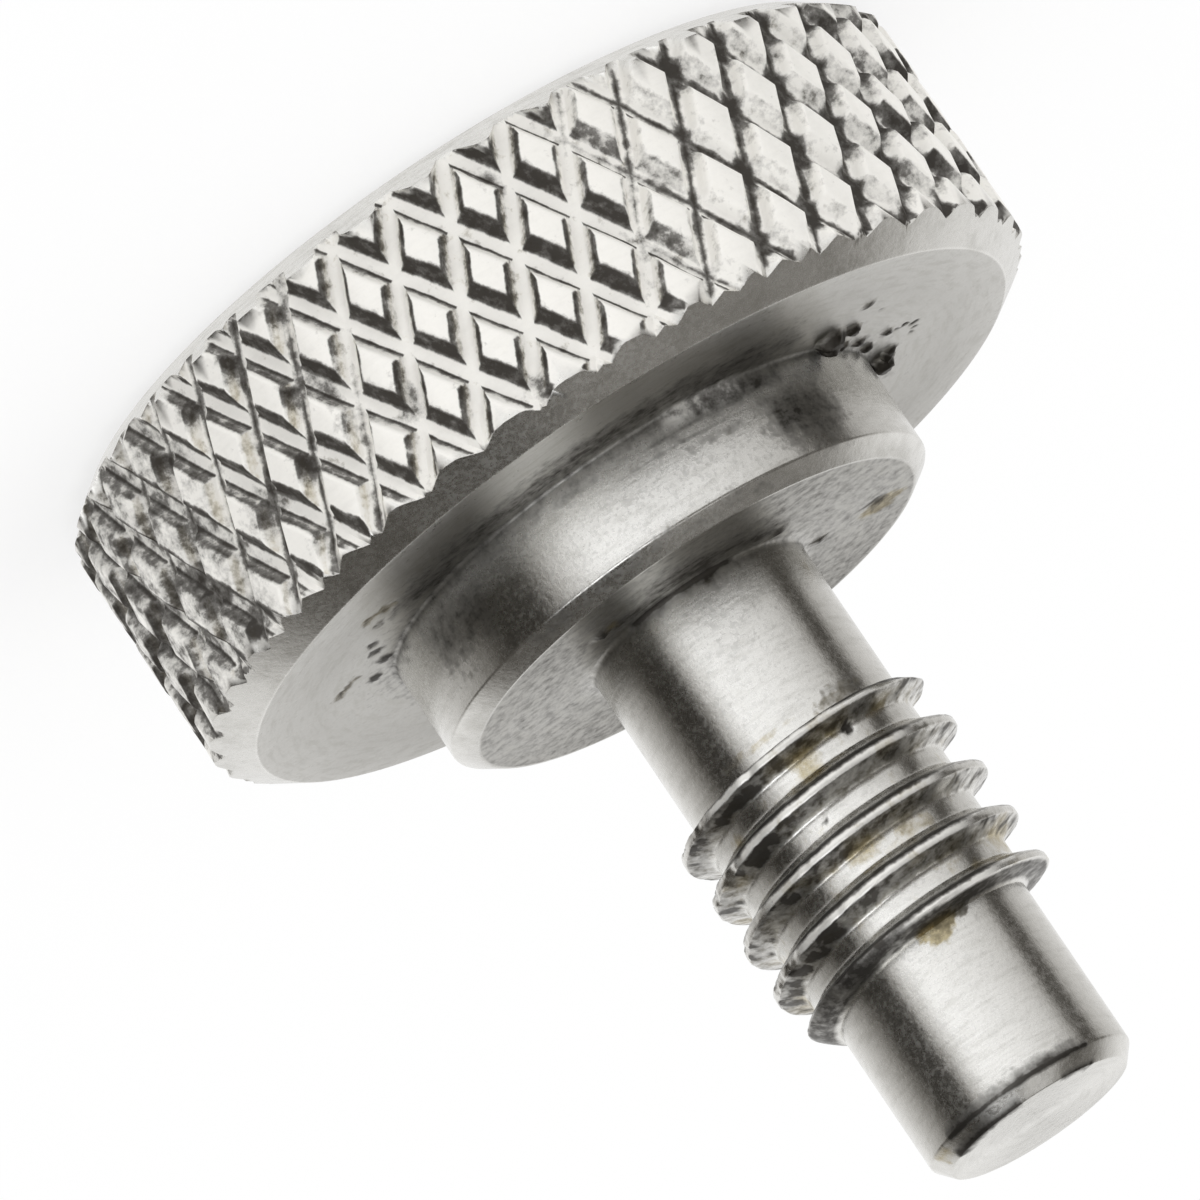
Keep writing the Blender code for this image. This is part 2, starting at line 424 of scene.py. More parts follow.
# Sides of the rim where the painted shade differs: (middle in degrees, cosines of the soft edge). On the
# first the long flanks' painted shade is paler, on the second only a line of painted shade is left along the
# bottom of each groove.
PALE_FLANK_SIDE = (-133.0, 0.90, 0.98)
SHADE_LINE_SIDE = (-155.0, 0.60, 0.82)
# Here painted shade sits in the crossings of the grooves, and spreads from them farther round to the right
CROSSING_SHADE_SIDE = (-145.0, 0.86, 0.95)
SPREAD_SIDE = (-165.0, 0.80, 0.95)
# On the left, painted shade lines the steeper grooves thinly and lies in patches beside them, and then caked
# oil, with painted shade deeper in the grooves, covers the knurl
LEFT_SHADE_SIDE = (-48.0, 0.88, 0.97)
CAKED_SIDE = (-15.0, 0.78, 0.94)
# Near the under-face the knurl runs out, and its lands are rounded right across, this share of the pitch
WORN_EDGE = 0.75 * MM
ROUND_WIDTH = 0.36
# Unevenness of the knurl round the rim, along the axis and in depth: (height and size in millimetres, seed)
UNEVEN_AROUND = ((0.018, 0.9, 3), (0.012, 0.25, 5))
UNEVEN_ALONG = ((0.03, 0.8, 7), (0.012, 0.22, 9))
UNEVEN_DEPTH = ((0.014, 0.7, 13), (0.007, 0.16, 17))
# The rim stops this far short of the flat faces above and below
LIP = 0.02 * MM
# How near a point is to a cut to be moved onto it, and to a chamfer to be part of it
RING_SNAP = 0.003 * MM
CONE_SNAP = 0.0015 * MM
CONE_DEPTH = 0.002 * MM
CONE_MARKS = (0.0, 0.20, 0.0, 0.0)


def knurl_marks(rough, angle, across, left_line):
    """Darkening, dullness, stain and frost of the diamonds. The darkening is mostly painted shade, with oil
    and soot.

    Each grain has its size in millimetres and its seed. The other pairs say where a layer starts and is full.
    """
    (steep_place, steep_height, steep_shade_and_dirt), (flat_place, flat_height, flat_shade_and_dirt) = across.transpose(0, 2, 1)
    # Painted shade on the flanks, along the grooves and in their crossings, set by the side of the rim the
    # camera sees
    shade_lined, left_shade = facing(angle, SHADE_LINE_SIDE), facing(angle, LEFT_SHADE_SIDE)
    patchy = 0.38 + 0.62 * smooth(grain(rough, 0.45, 65), -0.40, 0.15)
    long_flank_shade = (1.0 - 0.64 * facing(angle, PALE_FLANK_SIDE)) * (1.0 - shade_lined + shade_lined * patchy)
    flat_shade_and_dirt = np.where(left_line >= LONG_FLANK, long_flank_shade, 1.0) * flat_shade_and_dirt
    for line, level in ((LONG_FLANK, 0.85), (SHORT_FLANK, 0.75)):
        flat_shade_and_dirt = np.where(left_line == line, np.maximum(flat_shade_and_dirt, level * left_shade), flat_shade_and_dirt)
    steep_shade_and_dirt = steep_shade_and_dirt * (1.0 - 0.8 * np.maximum(shade_lined, left_shade))
    steeper = steep_height < flat_height
    dirt_and_shade = np.where(steeper, steep_shade_and_dirt, flat_shade_and_dirt)

    from_steep, from_flat = np.minimum(across[..., 0], 1.0 - across[..., 0])
    wavering = 0.05 * grain(rough, 0.35, 69)
    steep_line = 1.0 - smooth(from_steep + wavering, 0.03, 0.12)
    flat_line = 1.0 - smooth(from_flat + wavering, 0.05, 0.10)
    shade_patches = smooth(grain(rough, 0.55, 77), -0.25, 0.10)
    shade_patches = shade_patches * band(steep_place, (0.02, 0.08), (0.22, 0.30))
    shade_patches = shade_patches * band(flat_place, (0.06, 0.14), (0.35, 0.60))
    from_crossing = np.hypot(from_steep, 0.7 * from_flat) + 0.07 * grain(rough, 0.25, 67)
    from_crossing = from_crossing - 0.05 * facing(angle, SPREAD_SIDE)
    in_groove = 1.0 - smooth(across[..., 1].min(axis=0), 0.6, 0.95)
    caked_and_shaded = facing(angle, CAKED_SIDE) * (0.51 + 0.52 * grain(rough, 0.24, 63))
    clots = smooth(grain(rough, 0.8, 61), 0.15, 0.55) * (0.60 - 0.35 * shade_lined)
    layers = [
        dirt_and_shade,
        shade_lined * np.maximum(steep_line, 0.9 * flat_line),
        0.85 * left_shade * steep_line,
        left_shade * shade_patches,
        facing(angle, CROSSING_SHADE_SIDE) * (1.0 - smooth(from_crossing, 0.11, 0.27)),
        caked_and_shaded * (0.85 + 0.25 * in_groove),
        clots * (0.35 + 0.65 * in_groove),
    ]

    halfway = 4.0 * steep_height * (1.0 - steep_height)
    # The brown tint on the steeper flanks is partly stain and partly painted shade
    stain = np.where(steeper, 0.35 * smooth(halfway, 0.2, 0.9) * (1.0 - shade_lined), 0.0) + 0.12 * in_groove
    off_middle = np.hypot(*(across[..., 0] - LAND_MIDDLE))
    dull = 0.5 * (1.0 - smooth(off_middle, 0.02, 0.16))
    return [np.max(layers, axis=0), dull, stain, np.ones(len(stain))]


def knurl_sheet(sizes):
    """Points (x and y of the direction, z, radius, and the marks) and triangles of the diamonds."""
    steep, flat = np.array(STEEP_GROOVE), np.array(FLAT_GROOVE)
    lines = len(steep)
    rim = sizes.head_diameter / 2.0
    right_count, left_count = sizes.knurl_right, sizes.knurl_left
    right_rate = right_count * math.tan(sizes.knurl_lean_right) / rim
    left_rate = left_count * math.tan(sizes.knurl_lean_left) / rim
    mix = right_count * left_rate + left_count * right_rate

    def place(column, row):
        """Angle and height of a place in the lattice of grooves."""
        right = FULL_TURN * (column + KNURL_START_RIGHT)
        left = FULL_TURN * (row + KNURL_START_LEFT)
        angle = (left_rate * right + right_rate * left) / mix
        return angle, (right_count * left - left_count * right) / mix

    around = right_count + left_count
    column, total = np.meshgrid(np.arange(-around, around), np.arange(around), indexing="ij")
    column, row = column.ravel(), (total - column).ravel()
    reach = FULL_TURN * around / mix / 2.0
    middle = place(column + 0.5, row + 0.5)[1]
    near = (middle > -reach) & (middle < sizes.head_height + reach)
    column, row = column[near], row[near]

    step_right, step_left = (step.ravel() for step in np.indices((lines, lines)))
    right_place = (column[:, None] * lines + step_right).ravel()
    left_place = (row[:, None] * lines + step_left).ravel()
    half = lines // 2
    quadrant = np.tile((step_right < half) == (step_left < half), len(column))

    def wrap(right_index, left_index):
        """The same point has one number, however often the count has gone round."""
        turns = (right_index + left_index) // (lines * around)
        return np.stack(
            [right_index - turns * lines * right_count, left_index - turns * lines * left_count], axis=1
        )

    corners = [wrap(right_place + a, left_place + b) for a, b in ((0, 0), (1, 0), (1, 1), (0, 1))]
    unique, numbers = np.unique(np.concatenate(corners), axis=0, return_inverse=True)
    p00, p10, p11, p01 = numbers.reshape(4, -1)
    kinds = (
        (quadrant, (p00, p10, p11), (p00, p11, p01)),
        (~quadrant, (p00, p10, p01), (p10, p11, p01)),
    )
    triangles = np.concatenate([np.stack(three, axis=1)[kind] for kind, *both in kinds for three in both])

    (right_cell, left_cell), (right_line, left_line) = (part.T for part in np.divmod(unique, lines))
    across = np.stack([steep[right_line], flat[left_line]])
    angle, z = place(right_cell + across[0, :, 0], left_cell + across[1, :, 0])
    rough = polar(rim, angle, z)
    marks = knurl_marks(rough, angle, across, left_line)

    height = across[..., 1].min(axis=0)
    off_land = np.abs(across[..., 0] - LAND_MIDDLE).max(axis=0)
    round_height = np.sin(np.clip((0.5 - off_land) / ROUND_WIDTH, 0.0, 1.0) * math.pi / 2.0) ** 1.3
    worn = smooth(z, sizes.head_height - WORN_EDGE, sizes.head_height - 0.45 * WORN_EDGE)
    relief = 1.0 - (1.0 - height - (round_height - height) * worn) * (1.0 - 0.25 * worn)
    angle = angle + ripples(rough, *UNEVEN_AROUND) / rim
    z = z + ripples(rough, *UNEVEN_ALONG)
    uneven = ripples(rough, *UNEVEN_DEPTH)
    radius = rim - sizes.knurl_depth * (1.0 - relief) + np.minimum(uneven, 0.0) * 0.9 + uneven * 0.3
    radius = np.minimum(radius, rim)
    return np.stack([np.cos(angle), np.sin(angle), z, radius, *marks], axis=1), triangles


def add_rim(skin, sizes):
    """Knurled rim with its two chamfers. Gives back the open loops above and below."""
    points, triangles = knurl_sheet(sizes)
    rim = sizes.head_diameter / 2.0
    low, high = LIP, sizes.head_height - LIP
    for sign, height in ((1.0, low), (-1.0, high)):
        points, triangles = split_along(points, triangles, sign * (points[:, 2] - height), RING_SNAP)
        middle = points[triangles, 2].mean(axis=1)
        triangles = triangles[sign * (middle - height) > 0.0]
        points, triangles = keep_used(points, triangles)
        points[np.abs(points[:, 2] - height) < RING_SNAP, 2] = height

    def cones(z):
        """Radii of the top and the under chamfer at a height."""
        both = (sizes.top_chamfer, z), (sizes.under_chamfer, sizes.head_height - z)
        return [rim - width * (1.0 - inward / height) for (width, height), inward in both]

    for which in range(2):
        level = cones(points[:, 2])[which] - points[:, 3]
        points, triangles = split_along(points, triangles, level, CONE_SNAP)
    points, triangles = keep_used(points, triangles)
    cone = np.minimum(*cones(points[:, 2]))
    on_cone = cone <= points[:, 3] + CONE_DEPTH
    angles = np.arctan2(points[:, 1], points[:, 0])
    places = polar(np.minimum(points[:, 3], cone), angles, points[:, 2])
    numbers = skin.add(places, np.where(on_cone[:, None], CONE_MARKS, points[:, 4:]))
    skin.face(*numbers[triangles].T)
    edges = [points[:, 2] == height for height in (low, high)]
    return [(numbers[edge], angles[edge]) for edge in edges]


# ---------------- turned faces and the thread

# Arcs of degrees round every turned ring with the points in each, closer where the pits are
ARCS = ((-180.0, -145.0, 54), (-145.0, -48.0, 46), (-48.0, -5.0, 30), (-5.0, 165.0, 72), (165.0, 180.0, 22))
# Turn of the rings, so that none of their points falls on a seam
FIRST_DEGREES = 0.3


def ring_angles():
    """Angles of the points round every turned ring."""
    arcs = [np.linspace(low, high, points, endpoint=False) for low, high, points in ARCS]
    return np.radians(np.concatenate(arcs) + FIRST_DEGREES)


def add_turned(skin, outline, first=None):
    """Turned surface through (radius, height, dullness, darkening, frost). Gives back its first and last
    ring.
    """
    angles = ring_angles()
    rings = [] if first is None else [first]
    for radius, z, dull, dirt_and_shade, frost in outline:
        marks = np.tile((dirt_and_shade, dull, 0.0, frost), (len(angles), 1))
        rings.append(skin.add(polar(radius, angles, z), marks))
    for lower, upper in zip(rings, rings[1:]):
        skin.strip(lower, upper)
    return rings[0], rings[-1]


def close_middle(skin, last, z):
    """Close a face with triangles to its centre."""
    centre = skin.add(np.array([(0.0, 0.0, z)]))
    skin.face(last, np.roll(last, -1), np.repeat(centre, len(last)))


# Half a pitch of the thread, from the middle of a root to the middle of a crest: (share of the stretch, share
# of the depth), with the root flat, the flank and the crest one after the other
ROOT_STEPS = ((0.0, 0.0), (0.5, 0.0), (0.85, 0.005))
FLANK_STEPS = ((0.05, 0.04), (0.20, 0.14), (0.45, 0.40), (0.72, 0.70), (0.94, 0.93))
CREST_STEPS = ((0.25, 0.99), (1.0, 1.0))
FLANK_ANGLE = math.radians(26.0)
LEAD_IN = 0.25 * MM
RUN_OUT = 0.40 * MM
# Turns from the thread's start at which the middles of the first and the last crest stand
FIRST_CREST = 0.5
LAST_CREST = 3.5
# Where the last crest drops and the first one has risen, measured past the crest's edge
LAST_DROP = (-0.01 * MM, 0.07 * MM)
FIRST_RISE = (-0.01 * MM, 0.05 * MM)
# Widths of the soft change where the thread meets its end cones, and where one cone meets the other
END_SOFTNESS = 0.02 * MM
CONE_SOFTNESS = 0.04 * MM
# How deep below an uncut thread its skin counts as cut, and how far above the shank this starts to show
CUT_DEPTH = 0.05 * MM
CUT_RISE = (0.01 * MM, 0.06 * MM)
# Least distance of the thread's points from its two end rings
EDGE = 0.006 * MM
# Depth of the nicks in the crests, their wander along the axis, and what the battered side adds to both, in
# millimetres
NICKS, MORE_NICKS = 0.020, 0.060
WANDER, MORE_WANDER = 0.005, 0.012
FLANK_GRAIN = 0.003 * MM
CREST_LEAN = 0.02 * MM
# Sides of the thread, given like the rim's: where its crests are nicked, and the camera's side, where the
# painted shade on its flanks is thickest and its crests get a painted highlight
BATTERED_SIDE = (-40.0, 0.5, 0.9)
FRONT_SIDE = (-90.0, 0.64, 0.80)


def thread_profile(sizes):
    """Height and share of the depth of each row over one pitch, from one root to the next."""
    flank = (sizes.thread_diameter - sizes.thread_root) / 2.0 * math.tan(FLANK_ANGLE)
    root = (sizes.thread_pitch - sizes.thread_crest) / 2.0 - flank
    half, start = [], 0.0
    stretches = (root, ROOT_STEPS), (flank, FLANK_STEPS), (sizes.thread_crest / 2.0, CREST_STEPS)
    for stretch, steps in stretches:
        half += [(start + stretch * along, up) for along, up in steps]
        start += stretch
    return np.array(half + [(sizes.thread_pitch - z, up) for z, up in half[-2:0:-1]]).T


def soft_least(first, second, width):
    """The lesser of two radii, with a soft change from one to the other."""
    part = np.clip(0.5 + 0.5 * (second - first) / width, 0.0, 1.0)
    return second + (first - second) * part - width * part * (1.0 - part)


def thread_limit(sizes, z, around, turn, start_z):
    """Largest radius that the two ends of the thread leave."""
    shank, dog, crest = halves(sizes.shank_diameter, sizes.dog_diameter, sizes.thread_diameter)
    cone_in = shank + (crest - shank) * (z - start_z) / LEAD_IN
    cone_out = dog + (crest - dog) * (start_z + sizes.thread_length - z) / RUN_OUT
    near_half = around > math.pi
    pitch = sizes.thread_pitch
    edge = sizes.thread_crest / 2.0 / pitch
    # The last crest stands free: beyond it the root is cut down to the dog point
    beyond = (turn - LAST_CREST - edge) * pitch
    beyond, far_beyond = (smooth(past, *LAST_DROP) for past in (beyond, beyond - pitch))
    drop = np.maximum(beyond * np.where(near_half, 1.0, smooth(around, 2.0, 3.1)), far_beyond)
    last = crest - (crest - dog) * drop
    # The first crest rises as steeply from the shank
    before = smooth((FIRST_CREST - near_half - edge - turn) * pitch, *FIRST_RISE)
    drop = before * np.where(near_half, 1.0, 1.0 - smooth(around, 0.0, 1.0))
    first = crest - (crest - shank) * drop
    return np.minimum(soft_least(cone_in, cone_out, CONE_SOFTNESS), np.minimum(last, first))


def add_thread(skin, sizes, first, start_z):
    """Thread from the shank's last ring to the first ring of the dog point, which it gives back."""
    angles = ring_angles()
    heights, depths = thread_profile(sizes)
    rows = len(heights)
    pitch = sizes.thread_pitch
    end_z = start_z + sizes.thread_length
    root, crest = halves(sizes.thread_root, sizes.thread_diameter)
    shank, dog = halves(sizes.shank_diameter, sizes.dog_diameter)
    last = skin.add(polar(dog, angles, end_z))
    index = np.arange((math.ceil(sizes.thread_length / pitch) + 3) * rows)[:, None]
    around = np.broadcast_to(angles % FULL_TURN, (len(index), len(angles)))
    turn = index // rows - 2.0 + heights[index % rows] / pitch + 0.0 * around
    high = depths[index % rows] + 0.0 * around
    z = start_z + pitch * (turn + around / FULL_TURN + sizes.thread_start)
    radius = root + (crest - root) * high
    place = polar(radius, around, z)
    uneven = grain(place, 0.12, 37)
    ragged = grain(place, 0.30, 31) + 0.5 * grain(place, 0.11, 33)
    battered = facing(around, BATTERED_SIDE)
    radius = radius + (NICKS + MORE_NICKS * battered) * MM * np.minimum(ragged, 0.1) * high**3
    radius = radius + FLANK_GRAIN * uneven
    limit = thread_limit(sizes, z, around, turn, start_z)
    cut = smooth(radius - limit, 0.0, CUT_DEPTH)
    full = 1.0 - cut
    start_side = z < (start_z + end_z) / 2.0
    cut = cut * smooth(limit - np.where(start_side, shank, dog), *CUT_RISE)
    radius = np.clip(soft_least(radius, limit, END_SOFTNESS), dog, np.minimum(limit, crest))
    wander = (WANDER + MORE_WANDER * battered) * MM * grain(place, 0.35, 41) * high + CREST_LEAN * high**2
    inside = (z > start_z + EDGE) & (z < end_z - EDGE)
    z = np.where(inside, np.clip(z + wander, start_z + 0.5 * EDGE, end_z - 0.5 * EDGE), z)
    numbers = np.where(start_side, first, last)

    share_of_pitch = turn - np.floor(turn)
    rising = band(share_of_pitch, (0.27, 0.37), (0.43, 0.47))
    falling = band(share_of_pitch, (0.55, 0.60), (0.72, 0.90))
    yellow = smooth(grain(place, 0.55, 43), 0.0, 0.5)
    lumps = smooth(grain(place, 0.20, 45), 0.0, 0.4)
    # Painted shade on the flanks, heaviest on those facing the dog point and on the camera's side, with lumps
    # of oil added on the battered side and away from the camera; the cut ends are darkened too
    aside = 1.0 - facing(around, FRONT_SIDE)
    caked_and_shaded = 0.66 - 0.26 * aside * (1.0 - 0.6 * battered) + 0.15 * uneven
    caked_and_shaded = caked_and_shaded + 0.60 * np.maximum(battered, 0.6 * aside) * lumps
    marks = np.zeros((*z.shape, len(MARKS)))
    marks[..., 0] = (0.85 * rising * (1.0 - 0.4 * aside) + caked_and_shaded * falling) * full + 0.75 * cut
    marks[..., 2] = (0.12 + 0.25 * falling + 0.62 * yellow) * (1.0 - 0.5 * high) * full
    # Painted highlight: the pale frosted colour along the crests, on the camera's side only
    marks[..., 3] = 0.55 * smooth(high, 0.96, 0.99) * full * (1.0 - aside)
    numbers[inside] = skin.add(polar(radius, around, z)[inside], marks[inside])

    numbers = np.roll(numbers, -np.argmin(angles % FULL_TURN), axis=1)
    onward = np.concatenate([numbers[rows:, :1], np.repeat(numbers[-1:, :1], rows, axis=0)])
    wide = np.concatenate([numbers, onward], axis=1)
    a, b = wide[:-1, :-1].ravel(), wide[:-1, 1:].ravel()
    c, d = wide[1:, 1:].ravel(), wide[1:, :-1].ravel()
    for triangle in ((a, b, c), (a, c, d)):
        triangle = np.stack(triangle, axis=1)
        real = (triangle != np.roll(triangle, 1, axis=1)).all(axis=1)
        skin.face(*triangle[real].T)
    return last


# ---------------- pits, scratches, stains and painted shade

UNDER = HEAD_HEIGHT / MM
SEAT = COLLAR_FACE_Z / MM
# Each: (radius, height, angle in degrees, size, depth, darkening, stain), in millimetres. Crumbs of dirt
# stand proud, and have a depth below zero.
BLEMISHES = (
    (3.8, UNDER, -150, 0.19, -0.17, 1, 0),
    (3.64, UNDER, -151, 0.11, -0.08, 0.9, 0),
    (3.94, UNDER, -155.5, 0.11, -0.08, 0.9, 0),
    (3.62, UNDER, -160, 0.08, -0.05, 0.8, 0.1),
    (3.7, UNDER, -165.5, 0.085, -0.05, 0.8, 0),
    (3.66, UNDER, -172, 0.085, -0.06, 0.9, 0.1),
    (3.72, UNDER, 173, 0.17, -0.16, 1, 0.1),
    (3.86, UNDER, 176.5, 0.11, -0.07, 0.9, 0),
    (4, UNDER, -172, 0.08, -0.04, 0.8, 0),
    (4.08, UNDER, -174, 0.045, 0.02, 0.7, 0),
    (4.21, UNDER, -175, 0.05, 0.025, 0.9, 0),
    (4.31, UNDER, -177.3, 0.05, 0.025, 0.9, 0),
    (4.3, UNDER, -179.6, 0.04, 0.02, 0.8, 0),
    (4.2, UNDER, 178.6, 0.035, 0.02, 0.8, 0),
    (4.49, UNDER, -151, 0.08, -0.03, 0.7, 0.1),
    (4.35, UNDER, -158, 0.035, 0.015, 0.5, 0),
    (4.43, UNDER, -44, 0.15, 0.01, 0.55, 0.6),
    (4.62, UNDER, -42, 0.12, 0.01, 0.55, 0.6),
    (4.3, UNDER, -38, 0.11, 0.01, 0.65, 0.4),
    (3.73, UNDER, -17.5, 0.1, -0.03, 1, 0),
    (3.86, UNDER, -9, 0.1, -0.03, 1, 0),
    (3.95, UNDER, -24, 0.1, 0.015, 0.85, 0.3),
    (4.1, UNDER, -29, 0.1, 0.015, 0.85, 0.3),
    (4.15, UNDER, -15, 0.085, 0.01, 0.65, 0.6),
    (4.24, UNDER, -13, 0.085, 0.01, 0.7, 0.6),
    (4.33, UNDER, -11.2, 0.085, 0.01, 0.7, 0.6),
    (4.42, UNDER, -9.6, 0.085, 0.01, 0.65, 0.6),
    (2.12, SEAT, -58, 0.11, -0.07, 0.9, 0.2),
    (2.11, SEAT, -62.5, 0.1, -0.02, 0.15, 1),
    (2.74, SEAT, 167, 0.27, 0.01, 0.5, 1),
    (2.68, SEAT, 172, 0.16, 0.015, 0.8, 0.4),
    (1.78, SEAT, -141, 0.09, -0.04, 0.8, 0.2),
    (1.83, SEAT, 168, 0.08, -0.03, 0.7, 0.2),
    (1.565, 7.33, -90, 0.06, 0, 0, 0.9),
    (1.6, 8, -118, 0.075, 0.03, 1, 0),
    (1.6, 8.87, -85, 0.04, 0.015, 0.8, 0),
    (1.6, 9.43, -115, 0.16, 0, 0.25, 0.55),
    (1.6, 9.48, -125, 0.12, 0, 0.2, 0.5),
    (1.5, 10.74, -97, 0.17, 0, 0.25, 0.95),
    (1.5, 10.7, -105, 0.17, 0, 0.4, 0.95),
    (1.5, 10.66, -114, 0.14, 0, 0.6, 0.5),
    (1.5, 10.86, -101, 0.11, 0, 0.2, 0.9),
    # These four darken the shank in a brown band just above the first crest, to the right of the camera's
    # side
    (1.57, 7.62, -112, 0.13, 0, 0.35, 0.4),
    (1.57, 7.56, -120, 0.15, 0, 0.42, 0.4),
    (1.57, 7.5, -129, 0.16, 0, 0.45, 0.4),
    (1.57, 7.42, -138, 0.14, 0, 0.45, 0.3),
    (3.56, 4.05, -127, 0.07, 0.012, 0.8, 0),
    (3.56, 4.02, -120, 0.045, 0.01, 0.7, 0),
)
# Marks that run round the screw: (radius, height, from and to in degrees, size, darkening, stain, frost).
# Where a note says so, the darkening is painted shade.
SMEARS = (
    # Painted shade on the under-face next to the collar, on the camera's side
    (3.9, UNDER - 0.5, -128, -50, 1, 0.9, 0.12, 0),
    (3.55, 3.92, -122, -108, 0.18, 0, 0, 0.8),
    # This and the next: painted shade, the dark band on the collar's right side, from its foot to the seat
    (3.55, 3.98, -134, -114, 0.24, 0.66, 0.12, 0),
    (3.55, 4.6, -139, -130, 0.62, 0.66, 0.08, 0),
    (3.56, 4.12, -122, -100, 0.06, 0.55, 0.1, 0),
    (3.56, 4.26, -118, -92, 0.05, 0.44, 0.1, 0),
    (3.56, 4.4, -120, -106, 0.05, 0.42, 0.1, 0),
    (3.56, 4.05, -100, -76, 0.05, 0.34, 0.05, 0),
    (3.48, 5.24, -118, -58, 0.2, 0.38, 0.1, 0),
    # Painted shade: the dark band on the collar's left side
    (3.55, 4.4, -50, -38, 0.66, 0.52, 0.08, 0),
    # These four: painted shade round the shank's foot on the collar face, which also damps the root fillet's
    # highlight
    (1.92, SEAT - 0.22, -130, -66, 0.54, 0.88, 0.15, 0),
    (2.15, SEAT - 0.25, -120, -86, 0.85, 0.66, 0.12, 0),
    (1.58, SEAT + 0.02, -116, -62, 0.09, 0.95, 0.1, 0),
    (1.6, 5.42, -128, -98, 0.24, 0.5, 0.2, 0),
    # These three: painted shade, dark lines along both edges of the dog point's chamfer on the camera's side
    (1.47, 12.97, -132, -44, 0.07, 0.92, 0.05, 0),
    (1.31, 13.16, -84, -36, 0.09, 0.9, 0.05, 0),
    (1.31, 13.16, -134, -114, 0.08, 0.8, 0.05, 0),
    (1.42, 13.04, -34, -24, 0.14, 0.12, 0.6, 0),
)


def weather(points, marks):
    """Sink the pits into the finished skin, and mark its oil, soot, stains and painted shade."""
    ragged, uneven = grain(points, 0.10, 71), grain(points, 0.40, 73)
    sunk = points.copy()
    for distance, height, degrees, size, depth, dirt_and_shade, stain in BLEMISHES:
        angle = math.radians(degrees)
        away = np.linalg.norm(points - polar(distance, angle, height) * MM, axis=1) / (size * MM)
        inside = 1.0 - smooth(away + 0.35 * ragged, 0.55, 1.25)
        dirty = 1.0 - smooth(away + 0.45 * ragged, 0.85, 1.35)
        into = np.array([0.0, 0.0, -1.0]) if height in (UNDER, SEAT) else -polar(1.0, angle, 0.0)
        sunk += inside[:, None] * into * depth * MM
        marks = np.maximum(marks, dirty[:, None] * (dirt_and_shade, 0.0, stain, 0.0))
    turned = np.arctan2(points[:, 1], points[:, 0])
    for distance, height, start, end, size, dirt_and_shade, stain, frost in SMEARS:
        nearest = np.clip(turned, math.radians(start), math.radians(end))
        away = np.linalg.norm(points - polar(distance, nearest, height) * MM, axis=1) / (size * MM)
        smeared = 1.0 - smooth(away + 0.3 * uneven, 0.1, 1.3)
        marks = np.maximum(marks, smeared[:, None] * (dirt_and_shade, 0.0, stain, frost))
    return sunk, marks


# Longest steps of the turned outlines: on the top, the under-face, the collar, its seat, the shank, the point
TOP_STEP = 0.80 * MM
UNDER_STEP = 0.07 * MM
COLLAR_STEP = 0.06 * MM
SEAT_STEP = 0.20 * MM
SHANK_STEP = POINT_STEP = 0.24 * MM


